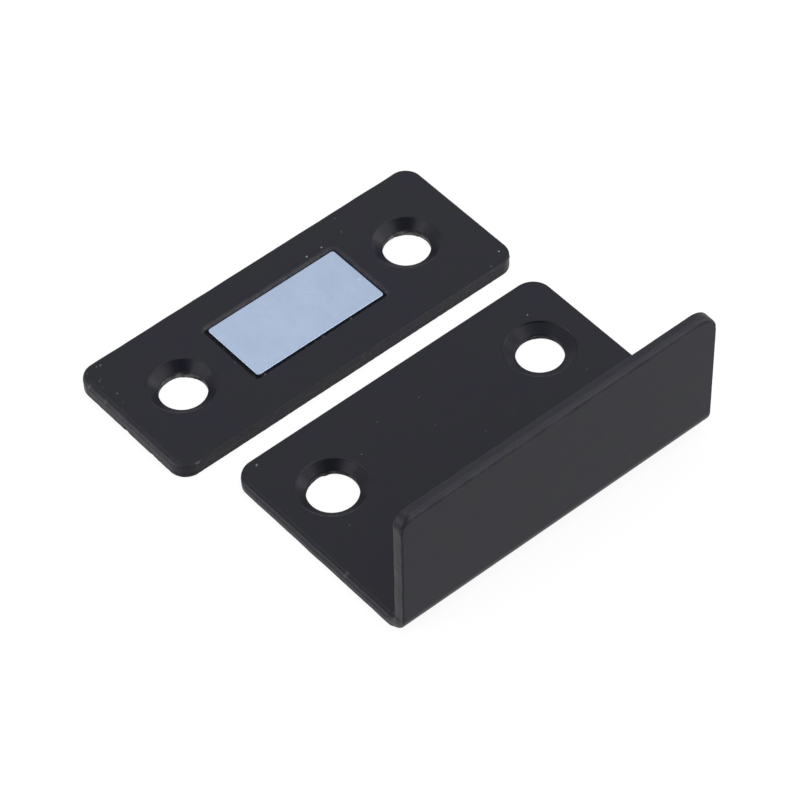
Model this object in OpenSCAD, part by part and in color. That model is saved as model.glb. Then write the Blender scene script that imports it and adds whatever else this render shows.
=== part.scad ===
// Thin magnetic catch: a flat carrier plate with a block magnet let into it,
// and a strike plate folded from one sheet, lying side by side as a set.
// Origin: middle of the carrier plate's back face. +X runs along both plates,
// +Y points from the strike plate to the carrier plate, +Z is up.

/* [Carrier plate] */
// Length of the carrier plate
carrier_l = 40; // [34:0.5:60]
// Width of the carrier plate
carrier_w = 16; // [13:0.5:24]
// Thickness of the carrier plate
carrier_t = 1.5; // [1.2:0.1:3]
// Radius of the carrier plate's corners, seen from above
carrier_corner_r = 1.8; // [0.6:0.1:4]
// Radius of the rolled edge round the carrier plate's front face
carrier_front_edge_r = 0.3; // [0.1:0.05:0.5]
// Radius of the edge round the carrier plate's back face
carrier_back_edge_r = 0.1; // [0.05:0.05:0.3]
// Distance between the carrier plate's screw holes
carrier_hole_gap = 26.8; // [24:0.2:50]
// Height of the straight wall under the carrier plate's countersinks
carrier_land = 0.6; // [0.3:0.1:1]
// How far the punched holes and window sit off the plate's middle line
punch_shift = 0.3; // [-0.5:0.1:0.5]

/* [Magnet] */
// Length of the magnet
magnet_l = 15; // [10:0.5:17]
// Width of the magnet
magnet_w = 7.5; // [5:0.5:10]
// Radius of the magnet's upright corners
magnet_corner_r = 0.35; // [0.25:0.05:1]
// Radius of the magnet's plated edges, front and back
magnet_edge_r = 0.15; // [0.05:0.05:0.2]
// Distance from the magnet's back to the plate's back face
magnet_back_gap = 0.1; // [0:0.05:0.4]
// Width of the glue line between the magnet and the window in the plate
glue_gap = 0.2; // [0.1:0.05:0.5]
// Depth of the glue's surface below the plate's front face
glue_sink = 0.3; // [0.2:0.05:0.5]

/* [Strike plate] */
// Length of the strike plate
strike_l = 36.2; // [32:0.2:60]
// Depth of the strike plate's base, from the contact face's corner line
strike_d = 24; // [21:0.5:34]
// Height of the flange along its contact face, from the corner line
strike_h = 16.2; // [8:0.1:26]
// Thickness of the sheet
sheet_t = 1.2; // [0.8:0.1:2]
// Inside radius of the bend
bend_inner_r = 1.2; // [0.4:0.1:2.5]
// Inside angle between the base and the flange, opened by springback
bend_angle = 92.5; // [88:0.5:95]
// Radius of the two corners at the base's free edge
base_corner_r = 2; // [0.5:0.1:4]
// Radius of the flange's left corner, as seen from the contact face
flange_left_r = 1.3; // [0.5:0.1:4]
// Radius of the flange's right corner, as seen from the contact face
flange_right_r = 2.3; // [0.5:0.1:4]
// Radius of the sheet's edges
sheet_edge_r = 0.15; // [0.05:0.05:0.3]
// Distance between the strike plate's screw holes
strike_hole_gap = 24.7; // [22:0.1:46]
// Distance from the contact face's corner line to the screw holes
strike_hole_line = 16.7; // [10:0.1:17.2]
// Height of the straight wall under the strike plate's countersinks
strike_land = 0.5; // [0.2:0.1:0.6]

/* [Screw holes] */
// Diameter of the screw holes' straight bore
bore_d = 4.7; // [3:0.1:5.2]
// Diameter of the countersinks at the front face
mouth_d = 6.7; // [6:0.1:8]

/* [Layout of the set] */
// Gap between the carrier plate and the strike plate's base
set_gap = 2.8; // [1:0.1:20]
// Distance of the strike plate's middle from the carrier plate's, along X
strike_shift = 1.6; // [-10:0.1:10]

/* [Hidden] */
$fn = 48;

// Reach of a cut past the face that it leaves by
cut_past = 1;

bore_r = bore_d / 2;
mouth_r = mouth_d / 2;

// The window takes the magnet and its glue line all round
window_l = magnet_l + 2 * glue_gap;
window_w = magnet_w + 2 * glue_gap;
window_corner_r = magnet_corner_r + glue_gap;

// The magnet's face is flush with the plate's front face
magnet_t = carrier_t - magnet_back_gap;

// The glue wets the magnet's upright walls, clear of its rounded back edge
glue_low = magnet_back_gap + magnet_edge_r;
glue_t = carrier_t - glue_sink - glue_low;

// The bend turns the sheet up from the base and into the flange
bend_outer_r = bend_inner_r + sheet_t;
bend_turn = 180 - bend_angle;
bend_setback = bend_outer_r * tan(bend_turn / 2);

// Angle by which each leg's share of the bend runs past the middle
bend_overlap = 5;

strike_y = -carrier_w / 2 - set_gap - strike_d;

// Half of a plate's section, from its middle out to one softened side
module half_section(reach, thick, front_r, back_r) {
    square([reach - back_r, thick - front_r]);
    translate([0, back_r])
        square([reach, thick - front_r - back_r]);
    translate([0, back_r])
        square([reach - front_r, thick - back_r]);
    translate([reach - back_r, back_r])
        circle(r = back_r);
    translate([reach - front_r, thick - front_r])
        circle(r = front_r);
}

// A plate's whole section, softened at both sides
module section(width, thick, front_r, back_r) {
    half_section(width / 2, thick, front_r, back_r);
    mirror([1, 0])
        half_section(width / 2, thick, front_r, back_r);
}

// Right side of a flat tab, from its middle line out, with its round corner
module tab_side(width, reach, thick, corner_r, front_r, back_r) {
    corner_y = reach - corner_r;
    translate([0, corner_y, 0])
        rotate([90, 0, 0])
            linear_extrude(corner_y)
                half_section(width / 2, thick, front_r, back_r);
    translate([width / 2 - corner_r, corner_y, 0])
        rotate_extrude()
            half_section(corner_r, thick, front_r, back_r);
}

// Flat tab: open at y = 0, with two round corners and soft edges elsewhere
module tab(width, reach, thick, left_r, right_r, front_r, back_r) {
    translate([left_r - width / 2, 0, 0])
        rotate([90, 0, 90])
            linear_extrude(width - left_r - right_r)
                half_section(reach, thick, front_r, back_r);
    tab_side(width, reach, thick, right_r, front_r, back_r);
    mirror([1, 0, 0])
        tab_side(width, reach, thick, left_r, front_r, back_r);
}

// Flat plate with four round corners and soft edges: two tabs, back to back
module plate(length, width, thick, corner_r, front_r, back_r) {
    tab(length, width / 2, thick, corner_r, corner_r, front_r, back_r);
    mirror([0, 1, 0])
        tab(length, width / 2, thick, corner_r, corner_r, front_r, back_r);
}

// Outline of a rectangle with round corners
module rounded_outline(length, width, corner_r) {
    square([length - 2 * corner_r, width], center = true);
    square([length, width - 2 * corner_r], center = true);
    for (x = [-1, 1], y = [-1, 1])
        translate([x * (length / 2 - corner_r), y * (width / 2 - corner_r)])
            circle(r = corner_r);
}

// Countersunk screw hole, standing on the back face of a plate
module screw_hole(thick, land) {
    rotate_extrude()
        polygon([
            [0, -cut_past],
            [bore_r, -cut_past],
            [bore_r, land],
            [mouth_r, thick],
            [mouth_r, thick + cut_past],
            [0, thick + cut_past]
        ]);
}

// A pair of screw holes, set apart along X
module screw_holes(gap, thick, land) {
    for (side = [-1, 1])
        translate([side * gap / 2, 0, 0])
            screw_hole(thick, land);
}

// Punched plate that carries the magnet
module carrier_plate() {
    color([0.17, 0.17, 0.19])
        difference() {
            plate(carrier_l, carrier_w, carrier_t, carrier_corner_r,
                  carrier_front_edge_r, carrier_back_edge_r);
            translate([0, punch_shift, 0])
                screw_holes(carrier_hole_gap, carrier_t, carrier_land);
            translate([0, punch_shift, -cut_past])
                linear_extrude(carrier_t + 2 * cut_past)
                    rounded_outline(window_l, window_w, window_corner_r);
        }
}

// Plated block magnet, flush with the plate's front face
module magnet() {
    color([0.67, 0.75, 0.85])
        translate([0, punch_shift, magnet_back_gap])
            plate(magnet_l, magnet_w, magnet_t, magnet_corner_r,
                  magnet_edge_r, magnet_edge_r);
}

// Glue line between the magnet and the window's wall
module adhesive_ring() {
    color([0.06, 0.06, 0.07])
        translate([0, punch_shift, glue_low])
            linear_extrude(glue_t)
                difference() {
                    rounded_outline(window_l, window_w, window_corner_r);
                    rounded_outline(magnet_l, magnet_w, magnet_corner_r);
                }
}

// One leg of the strike plate with its share of the bend, which runs past the
// middle of the bend to overlap the other leg's; the bend's axis is the X axis
module bent_leg(reach, left_r, right_r) {
    translate([0, 0, -bend_outer_r])
        tab(strike_l, reach - bend_setback, sheet_t, left_r, right_r,
            sheet_edge_r, sheet_edge_r);
    mirror([0, 1, 0])
        rotate([0, 90, 0])
            rotate_extrude(angle = bend_turn / 2 + bend_overlap)
                translate([bend_outer_r, 0])
                    rotate(90)
                        section(strike_l, sheet_t, sheet_edge_r, sheet_edge_r);
}

// Strike plate, folded from one sheet: two legs, either side of the bend
module strike_plate() {
    color([0.2, 0.2, 0.22])
        translate([strike_shift, strike_y, 0])
            difference() {
                translate([0, bend_setback, bend_outer_r])
                    rotate([-bend_turn / 2, 0, 0]) {
                        rotate([bend_turn / 2, 0, 0])
                            bent_leg(strike_d, base_corner_r, base_corner_r);
                        rotate([-bend_turn / 2, 0, 0])
                            mirror([0, 1, 0])
                                bent_leg(strike_h, flange_left_r, flange_right_r);
                    }
                translate([0, strike_hole_line, 0])
                    screw_holes(strike_hole_gap, sheet_t, strike_land);
            }
}

carrier_plate();
magnet();
adhesive_ring();
strike_plate();
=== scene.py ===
"""Looks of a thin magnetic catch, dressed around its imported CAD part.

The catch is a set of two halves that lie side by side. The carrier half is a punched
plate with a plated block magnet glued into its window. The strike half is one sheet
with two screw holes, folded to about a right angle.

Lengths are millimetres in the part's own frame until a draft becomes a mesh. A draft is
a flat blank: x and y run along its front face, and z is the height over its back face.
The strike plate is drawn unfolded, and its fold is the last thing that is done to it.
"""

import logging
import math
from collections.abc import Callable, Iterable, Sequence
from dataclasses import astuple, dataclass, field
from enum import Enum

import bpy
import numpy as np
from mathutils import Matrix, Vector, noise
from mathutils.geometry import delaunay_2d_cdt


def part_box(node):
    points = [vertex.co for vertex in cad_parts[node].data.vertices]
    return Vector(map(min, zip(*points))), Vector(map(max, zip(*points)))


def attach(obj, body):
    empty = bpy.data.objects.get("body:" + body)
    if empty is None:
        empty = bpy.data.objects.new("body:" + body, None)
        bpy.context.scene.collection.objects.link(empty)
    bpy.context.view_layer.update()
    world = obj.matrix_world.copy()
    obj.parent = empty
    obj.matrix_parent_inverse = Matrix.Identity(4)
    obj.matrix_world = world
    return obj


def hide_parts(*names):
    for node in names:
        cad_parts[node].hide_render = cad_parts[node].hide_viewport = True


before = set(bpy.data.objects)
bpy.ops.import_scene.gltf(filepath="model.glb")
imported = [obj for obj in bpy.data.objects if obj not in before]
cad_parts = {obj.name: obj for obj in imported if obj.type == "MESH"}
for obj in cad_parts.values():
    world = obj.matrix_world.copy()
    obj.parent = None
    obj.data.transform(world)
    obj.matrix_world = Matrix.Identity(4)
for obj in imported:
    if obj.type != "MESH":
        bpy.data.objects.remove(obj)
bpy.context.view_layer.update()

LOG = logging.getLogger("magnetic_catch")

Flat = tuple[float, float]
Point = tuple[float, float, float]
Colour = tuple[float, float, float]
Ring = list[int]
Socket = bpy.types.NodeSocket

MM = 0.001
# Distance from a soft edge to the loop that keeps the flat face beside it flat
SUPPORT = 0.03
# Spacing of the points inside a flat face, of its rows as a share of that, and how near
# the points come to the face's borders
FACE_STEP = 0.9
ROW_SHARE = 0.87
FACE_CLEAR = 0.35
# The triangulation keeps only what lies inside the outermost line
TRIANGLES_INSIDE = 1
MERGE_LIMIT = 1e-6
# Sockets of the node that mixes two colours
MIX_FIRST, MIX_SECOND, MIX_RESULT = 6, 7, 2


class Zone(Enum):
    """Part of a plate's surface, by how it was made. The value is its finish's place in the list."""

    FACE = 0
    SHEARED = 1
    TURNED = 2


class Rim(Enum):
    """How the mouth of a countersink meets the plate's face."""

    SOFT = "rounded over"
    CRISP = "stepped"


def stops(start: float, end: float, step: float) -> list[float]:
    """Evenly spaced values from start to end.

    Args:
        start: First value, which is included.
        end: Last value, which is included.
        step: Largest distance between two values.

    Returns:
        The values, in order.
    """
    rounding = 1e-9
    count = max(1, math.ceil(abs(end - start) / step - rounding))
    return [start + (end - start) * k / count for k in range(count + 1)]


def smooth(value: float) -> float:
    """Smooth step from 0 to 1 as value goes from 0 to 1."""
    share = min(1.0, max(0.0, value))
    return share * share * (3 - 2 * share)


def wobble(along: float, across: float, seed: float) -> float:
    """Smooth seeded noise, mostly from -0.7 to 0.7."""
    return noise.noise(Vector((along, across, seed)))


def hump(distance: float, width: float) -> float:
    """Bell curve: 1 at no distance, and near 0 at two widths."""
    return math.exp(-((distance / width) ** 2))


def curve(first: Flat, corner: Flat, last: Flat, count: int) -> list[Flat]:
    """Rounds a corner of a section.

    Args:
        first: Where the round starts.
        corner: The corner that it cuts.
        last: Where the round ends.
        count: Number of steps along it.

    Returns:
        The points of the round, with both its ends.
    """
    found = []
    for k in range(count + 1):
        t = k / count
        weights = ((1 - t) ** 2, 2 * t * (1 - t), t * t)
        found.append(
            (
                weights[0] * first[0] + weights[1] * corner[0] + weights[2] * last[0],
                weights[0] * first[1] + weights[1] * corner[1] + weights[2] * last[1],
            )
        )
    return found


@dataclass(frozen=True)
class Station:
    """One point on the side of a plate, before its relief is cut.

    Attributes:
        x: Place along the plate.
        y: Place across the plate.
        z: Height over the back face.
        run: Distance round the outline.
        out: Outward direction in the plane of the plate.
    """

    x: float
    y: float
    z: float
    run: float
    out: Flat

    def facing(self, direction: Flat) -> float:
        """How far the side looks in a direction, from 0 to 1."""
        return max(0.0, self.out[0] * direction[0] + self.out[1] * direction[1])


class Relief:
    """What a tool or a knock left on the side of a plate, and painted highlights and glints on it."""

    def depth(self, at: Station) -> float:
        """How far the side lies behind its true plane there."""
        return 0.0

    def wear_and_sheen(self, at: Station) -> float:
        """How much lighter the coat is painted there, from 0 to 1, for lost coat and for painted
        highlights.
        """
        return 0.0


@dataclass(frozen=True)
class Shear(Relief):
    """Side left by a punch: a smooth band under the front edge, then torn metal.

    Attributes:
        tear_line: Mean height at which the torn metal starts.
        wander: How far that line moves up and down.
        hollows: Depth of the hollows in the torn metal.
        drag: Depth of the punch's drag marks in the smooth band.
        seed: Picks the pattern.
        line_wave: Length of the tear line's waves.
        line_soft: Height over which the smooth band turns into torn metal.
        hollow_size: Length and height of a hollow.
        mark_size: Length and height of a drag mark.
        slant: How far a drag mark leans along the side, over its height.
        mean: Mean depth of both patterns, as a share of their full depth.
        swing: How far they go to both sides of it.
    """

    tear_line: float
    wander: float = 0.16
    hollows: float = 0.03
    drag: float = 0.012
    seed: float = 1.0
    line_wave: float = 1.1
    line_soft: float = 0.07
    hollow_size: Flat = (0.4, 0.25)
    mark_size: Flat = (0.5, 1.4)
    slant: float = 1.6
    mean: float = 0.55
    swing: float = 0.75

    def depth(self, at: Station) -> float:
        """How far the side lies behind its true plane.

        Args:
            at: The place on the side.

        Returns:
            The depth there.
        """
        line = self.tear_line + self.wander * wobble(at.run / self.line_wave, 0.0, self.seed)
        torn = smooth((line - at.z) / self.line_soft)
        length, height = self.hollow_size
        pattern = wobble((at.run + at.z) / length, at.z / height, self.seed + 3)
        hollow = self.mean + self.swing * pattern
        length, height = self.mark_size
        pattern = wobble((at.run + self.slant * at.z) / length, at.z / height, self.seed + 7)
        mark = self.mean + self.swing * pattern
        return torn * (self.hollows * hollow) + (1 - torn) * self.drag * mark


@dataclass(frozen=True)
class Wave(Relief):
    """Slow waviness of the sides that face one way.

    Attributes:
        facing: Outward direction of the sides that it is in.
        amount: Its full depth.
        length: Length of a wave.
        seed: Picks the pattern.
        mean: Mean depth, as a share of the full depth.
        swing: How far the waves go to both sides of it.
    """

    facing: Flat
    amount: float
    length: float
    seed: float
    mean: float = 0.5
    swing: float = 0.6

    def depth(self, at: Station) -> float:
        """How far the side lies behind its true plane there."""
        pattern = wobble(at.run / self.length, 0.0, self.seed)
        return at.facing(self.facing) ** 2 * self.amount * (self.mean + self.swing * pattern)


@dataclass(frozen=True)
class Nick(Relief):
    """Groove along a short line on the side of a plate, or a burr where its cut is below 0.

    Attributes:
        start: One end of the line.
        end: The other end. An end may lie past a face, where the nick is open to it.
        width: Half width of the groove.
        cut: Its depth.
        bare_and_sheen: How much lighter it is painted, from 0 to 1: lost coat in a groove, and a
            painted glint where its cut is 0.
        spill: How much wider that lighter paint is than the groove.
    """

    start: Point
    end: Point
    width: float
    cut: float
    bare_and_sheen: float = 0.0
    spill: float = 1.6

    def share(self, at: Station) -> float:
        """How much of the nick is felt there.

        Args:
            at: The place on the side.

        Returns:
            The share there, from 0 to 1.
        """
        line = Vector(self.end) - Vector(self.start)
        spot = Vector((at.x, at.y, at.z)) - Vector(self.start)
        along = min(1.0, max(0.0, spot.dot(line) / line.length_squared))
        return hump((spot - line * along).length, self.width)

    def depth(self, at: Station) -> float:
        """How far the side lies behind its true plane there."""
        return self.cut * self.share(at)

    def wear_and_sheen(self, at: Station) -> float:
        """How much lighter it is painted there, from 0 to 1, as lost coat and as painted glint."""
        return self.bare_and_sheen * min(1.0, self.spill * self.share(at))


@dataclass(frozen=True)
class PaintedSheen(Relief):
    """Patchy band of painted highlight along the sides that face one way.

    Attributes:
        facing: Outward direction of the sides that it is in.
        height: Height of the band's middle over the back face.
        width: Half width of the band.
        bare_and_sheen: How strong the painted highlight is in the brightest patches, from 0 to 1.
        patch: Length of a patch.
        seed: Picks the pattern.
        patch_height: Height of a patch.
        speck_size: Length and height of a speck in it.
        mean: How strong it is in the mean, as a share of bare_and_sheen.
        patch_swing: How far the patches go to both sides of it.
        speck_swing: How far the specks do.
    """

    facing: Flat
    height: float
    width: float
    bare_and_sheen: float
    patch: float
    seed: float
    patch_height: float = 0.5
    speck_size: Flat = (0.16, 0.12)
    mean: float = 0.5
    patch_swing: float = 0.6
    speck_swing: float = 0.7

    def wear_and_sheen(self, at: Station) -> float:
        """How strong the painted highlight is.

        Args:
            at: The place on the side.

        Returns:
            The painted highlight there, from 0 to 1.
        """
        broad = wobble(at.run / self.patch, at.z / self.patch_height, self.seed)
        length, height = self.speck_size
        fine = wobble(at.run / length, at.z / height, self.seed + 3)
        patchy = self.mean + self.patch_swing * broad + self.speck_swing * fine
        band = hump(at.z - self.height, self.width)
        return self.bare_and_sheen * at.facing(self.facing) ** 4 * band * min(1.0, max(0.0, patchy))


@dataclass(frozen=True)
class Fleck:
    """Small mark on a flat face: a grain of dust, a chip in the coat or a pit.

    Attributes:
        x: Place along the plate.
        y: Place across the plate.
        size: Its radius.
        tone: How light it is, from 0, as the coat is, to 1.
        rise: Its height over the face, or its depth where it is below 0.
        stretch: Its length over its width.
        turn: Direction of its length, in degrees from +X.
    """

    x: float
    y: float
    size: float = 0.09
    tone: float = 1.0
    rise: float = 0.015
    stretch: float = 1.0
    turn: float = 0.0

    def points(self, face_z: float, up: bool) -> list[tuple[Point, float]]:
        """Its points on a face, each with its tone.

        Args:
            face_z: Height of the face.
            up: Whether the face looks up in the blank.

        Returns:
            The middle and three rounds, of which the outer two lie in the face.
        """
        side = 1 if up else -1
        angle = math.radians(self.turn)
        found = [((self.x, self.y, face_z + side * self.rise), self.tone)]
        top = (0.55, self.tone, self.rise, 6)
        foot = (1.0, 0.0, 0.0, 9)
        support = (1.35, 0.0, 0.0, 9)
        for share, tone, rise, count in (top, foot, support):
            for k in range(count):
                t = 2 * math.pi * k / count
                length = self.size * share * self.stretch * math.cos(t)
                width = self.size * share * math.sin(t)
                x = self.x + length * math.cos(angle) - width * math.sin(angle)
                y = self.y + length * math.sin(angle) + width * math.cos(angle)
                found.append(((x, y, face_z + side * rise), tone))
        return found


@dataclass(frozen=True)
class Scratch:
    """Fine line drawn across a flat face.

    Attributes:
        start: One end.
        end: The other end.
        bow: How far its middle lies off the straight line.
        width: Its half width.
        cut: Its depth.
        tone: How light it is, from 0 to 1.
    """

    start: Flat
    end: Flat
    bow: float = 0.0
    width: float = 0.045
    cut: float = 0.006
    tone: float = 0.5

    def points(self, face_z: float, up: bool) -> list[tuple[Point, float]]:
        """Its points on a face, each with its tone.

        Args:
            face_z: Height of the face.
            up: Whether the face looks up in the blank.

        Returns:
            Five rows of points, of which the middle one is cut in.
        """
        side = 1 if up else -1
        spacing = 0.11
        along = (self.end[0] - self.start[0], self.end[1] - self.start[1])
        length = math.hypot(*along)
        across = (-along[1] / length, along[0] / length)
        found = []
        for t in stops(0.0, 1.0, spacing / length):
            off = self.bow * math.sin(math.pi * t)
            fade = math.sin(math.pi * min(1.0, max(0.0, t))) ** 0.5
            for row in (-1.5, -1, 0, 1, 1.5):
                shift = off + row * self.width
                x = self.start[0] + along[0] * t + across[0] * shift
                y = self.start[1] + along[1] * t + across[1] * shift
                deep = 0.0 if row else self.cut * fade
                tone = 0.0 if row else self.tone * fade
                found.append(((x, y, face_z - side * deep), tone))
        return found


Mark = Fleck | Scratch


@dataclass(frozen=True)
class Outline:
    """Closed outline of a flat piece, anticlockwise as seen from its front.

    Attributes:
        points: Its points.
        outs: The outward direction at each point.
        runs: The distance run up to each point.
    """

    points: tuple[Flat, ...]
    outs: tuple[Flat, ...]
    runs: tuple[float, ...]

    @classmethod
    def rounded(
        cls,
        low: Flat,
        high: Flat,
        radii: tuple[float, float, float, float],
        step: float,
        levels: Sequence[float] = (),
    ) -> "Outline":
        """Outline of a rectangle with round corners.

        Args:
            low: Its corner with the lowest x and y.
            high: Its corner with the highest x and y.
            radii: Radius of its corners, anticlockwise from that one.
            step: Spacing of its points.
            levels: Values of y, in order, between which the points of the two sides
                that run along Y are spaced. The spacing of each stretch is step, or a
                third of it from the second level to the third.

        Returns:
            The outline, which starts at the lower end of its right side.
        """
        points: list[Flat] = []
        outs: list[Flat] = []
        far_right, far_left, near_left, near_right = radii

        def side(places: Iterable[Flat], out: Flat) -> None:
            """Adds the points of a straight side.

            Args:
                places: The points.
                out: The side's outward direction.
            """
            for place in places:
                points.append(place)
                outs.append(out)

        def corner(middle: Flat, radius: float, first: float) -> None:
            """Adds the points inside a round corner's arc.

            Args:
                middle: The arc's middle.
                radius: Its radius.
                first: Where it starts, in degrees from +X.
            """
            angles = stops(first, first + 90, math.degrees(step / radius))[1:-1]
            for angle in map(math.radians, angles):
                out = (math.cos(angle), math.sin(angle))
                points.append((middle[0] + radius * out[0], middle[1] + radius * out[1]))
                outs.append(out)

        def heights(near_r: float, far_r: float) -> list[float]:
            """Values of y along a side that runs along Y.

            Args:
                near_r: Radius of the corner at its lower end.
                far_r: Radius of the corner at its upper end.

            Returns:
                The values, from the lower end to the upper end.
            """
            marks = [low[1] + near_r, *levels, high[1] - far_r]
            found = [marks[0]]
            for k, (start, end) in enumerate(zip(marks, marks[1:])):
                fine = len(levels) > 2 and k == 2
                found += stops(start, end, step / 3 if fine else step)[1:]
            return found

        side(((high[0], y) for y in heights(near_right, far_right)), (1.0, 0.0))
        corner((high[0] - far_right, high[1] - far_right), far_right, 0)
        along = stops(high[0] - far_right, low[0] + far_left, step)
        side(((x, high[1]) for x in along), (0.0, 1.0))
        corner((low[0] + far_left, high[1] - far_left), far_left, 90)
        side(((low[0], y) for y in reversed(heights(near_left, far_left))), (-1.0, 0.0))
        corner((low[0] + near_left, low[1] + near_left), near_left, 180)
        along = stops(low[0] + near_left, high[0] - near_right, step)
        side(((x, low[1]) for x in along), (0.0, -1.0))
        corner((high[0] - near_right, low[1] + near_right), near_right, 270)
        runs = [0.0]
        for a, b in zip(points, points[1:]):
            runs.append(runs[-1] + math.dist(a, b))
        return cls(tuple(points), tuple(outs), tuple(runs))


@dataclass
class Draft:
    """One piece while it is drawn, in millimetres.

    Attributes:
        points: Its points.
        wear_and_sheen: How far each point takes its finish's marked colour, from 0 to 1: dust, chips,
            scratches and glue dust, and painted highlights, glints, reflection and shade.
        faces: Its faces, which run anticlockwise as seen from outside.
        zones: The zone of each face.
    """

    points: list[Point] = field(default_factory=list)
    wear_and_sheen: list[float] = field(default_factory=list)
    faces: list[tuple[int, ...]] = field(default_factory=list)
    zones: list[Zone] = field(default_factory=list)

    def add(self, place: Point, wear_and_sheen: float = 0.0) -> int:
        """Adds a point.

        Args:
            place: The point.
            wear_and_sheen: How far it takes its finish's marked colour, from 0 to 1, for a mark and
                for painted light.

        Returns:
            Its number.
        """
        self.points.append(place)
        self.wear_and_sheen.append(wear_and_sheen)
        return len(self.points) - 1

    def strip(self, high: Ring, low: Ring, zone: Zone) -> None:
        """Joins two closed rows of points.

        Args:
            high: The upper row, for a surface that looks away from the rows' middle.
            low: The lower row.
            zone: Zone of the new faces.
        """
        count = len(high)
        for k in range(count):
            after = (k + 1) % count
            self.faces.append((low[k], low[after], high[after], high[k]))
            self.zones.append(zone)

    def strips(self, rings: Sequence[Ring], zone: Zone) -> None:
        """Joins closed rows of points, one after another."""
        for high, low in zip(rings, rings[1:]):
            self.strip(high, low, zone)

    def side(
        self,
        outline: Outline,
        section: Callable[[Flat, Flat], list[Flat]],
        reliefs: Sequence[Relief] = (),
    ) -> list[Ring]:
        """Draws the side of a plate, from its front face over the edge to its back face.

        Args:
            outline: The plate's outline.
            section: Gives the side's inset and height, row by row, for a place and its
                outward direction.
            reliefs: What is cut into the side, and painted highlights and glints on it.

        Returns:
            The rows, of which the first lies in the front face and the last in the back.
        """
        rows: list[Ring] = [[] for _ in section(outline.points[0], outline.outs[0])]
        for place, out, run in zip(outline.points, outline.outs, outline.runs):
            for row, (inset, z) in zip(rows, section(place, out)):
                at = Station(place[0], place[1], z, run, out)
                deep = inset + sum(relief.depth(at) for relief in reliefs)
                wear_and_sheen = max((relief.wear_and_sheen(at) for relief in reliefs), default=0.0)
                row.append(self.add((at.x - out[0] * deep, at.y - out[1] * deep, z), wear_and_sheen))
        for k in (*rows[0], *rows[-1]):
            self.wear_and_sheen[k] = 0.0
        return rows

    def inside(self, border: Ring, spots: np.ndarray) -> np.ndarray:
        """Which of some places lie inside a closed row of points.

        Args:
            border: The row.
            spots: The places, one to a line.

        Returns:
            A mask with one value for each place.
        """
        loop = np.array([self.points[k][:2] for k in border])
        after = np.roll(loop, -1, axis=0)
        x, y = spots[:, :1], spots[:, 1:2]
        spans = (loop[:, 1] > y) != (after[:, 1] > y)
        rise = np.where(after[:, 1] == loop[:, 1], 1.0, after[:, 1] - loop[:, 1])
        cross = loop[:, 0] + (y - loop[:, 1]) * (after[:, 0] - loop[:, 0]) / rise
        return (spans & (x < cross)).sum(1) % 2 == 1

    def cap(
        self,
        border: Ring,
        holes: Sequence[Ring],
        face_z: float,
        up: bool,
        marks: Sequence[Mark] = (),
        chains: Sequence[Ring] = (),
        bare_band: Flat | None = None,
    ) -> None:
        """Closes a flat face with triangles of an even size.

        Args:
            border: The closed row of points round it.
            holes: The closed rows round its holes.
            face_z: Its height.
            up: Whether it looks up in the blank.
            marks: The marks on it.
            chains: Open rows of points that triangle edges follow.
            bare_band: Lowest and highest y between which no points of its own are added.
        """
        spots = [spot for mark in marks for spot in mark.points(face_z, up)]
        loose = [self.add(place, tone) for place, tone in spots]
        edges = np.array([self.points[k][:2] for ring in (border, *holes) for k in ring])
        taken = np.array([place[:2] for place, _ in spots]).reshape(-1, 2)
        low, high = edges.min(0), edges.max(0)
        grid = np.array(
            [
                (x + (row % 2) * FACE_STEP / 2, y)
                for row, y in enumerate(np.arange(low[1], high[1], FACE_STEP * ROW_SHARE))
                for x in np.arange(low[0], high[0], FACE_STEP)
            ]
        )
        keep = self.inside(border, grid)
        for hole in holes:
            keep &= ~self.inside(hole, grid)
        for others, clear in ((edges, FACE_CLEAR), (taken, FACE_CLEAR / 2)):
            if len(others):
                gaps = np.linalg.norm(grid[:, None] - others[None], axis=2).min(1)
                keep &= gaps > clear
        if bare_band:
            keep &= (grid[:, 1] < bare_band[0]) | (grid[:, 1] > bare_band[1])
        loose += [self.add((float(x), float(y), face_z)) for x, y in grid[keep]]
        self.triangles(border, holes, loose, chains, up)

    def triangles(
        self,
        border: Ring,
        holes: Sequence[Ring],
        loose: Sequence[int],
        chains: Sequence[Ring],
        up: bool,
    ) -> None:
        """Fills a flat face with triangles between points that are there already.

        Args:
            border: The closed row of points round it.
            holes: The closed rows round its holes.
            loose: The points inside it.
            chains: Open rows of points that triangle edges follow.
            up: Whether it looks up in the blank.
        """
        used = list(dict.fromkeys([k for ring in (border, *holes, *chains) for k in ring]))
        used += loose
        place = {k: spot for spot, k in enumerate(used)}
        closed = [[*ring, ring[0]] for ring in (border, *holes)]
        lines = [
            (place[a], place[b]) for row in (*closed, *chains) for a, b in zip(row, row[1:])
        ]
        flat = [Vector(self.points[k][:2]) for k in used]
        found = delaunay_2d_cdt(flat, lines, [], TRIANGLES_INSIDE, MERGE_LIMIT)
        corners, triangles, origins = found[0], found[2], found[3]
        middles = np.array([sum((corners[k] for k in t), Vector((0, 0))) / 3 for t in triangles])
        keep = np.ones(len(triangles), bool)
        for hole in holes:
            keep &= ~self.inside(hole, middles)
        for triangle, kept in zip(triangles, keep):
            if kept:
                ids = [used[origins[k][0]] for k in triangle]
                self.faces.append(tuple(ids if up else reversed(ids)))
                self.zones.append(Zone.FACE)

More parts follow.
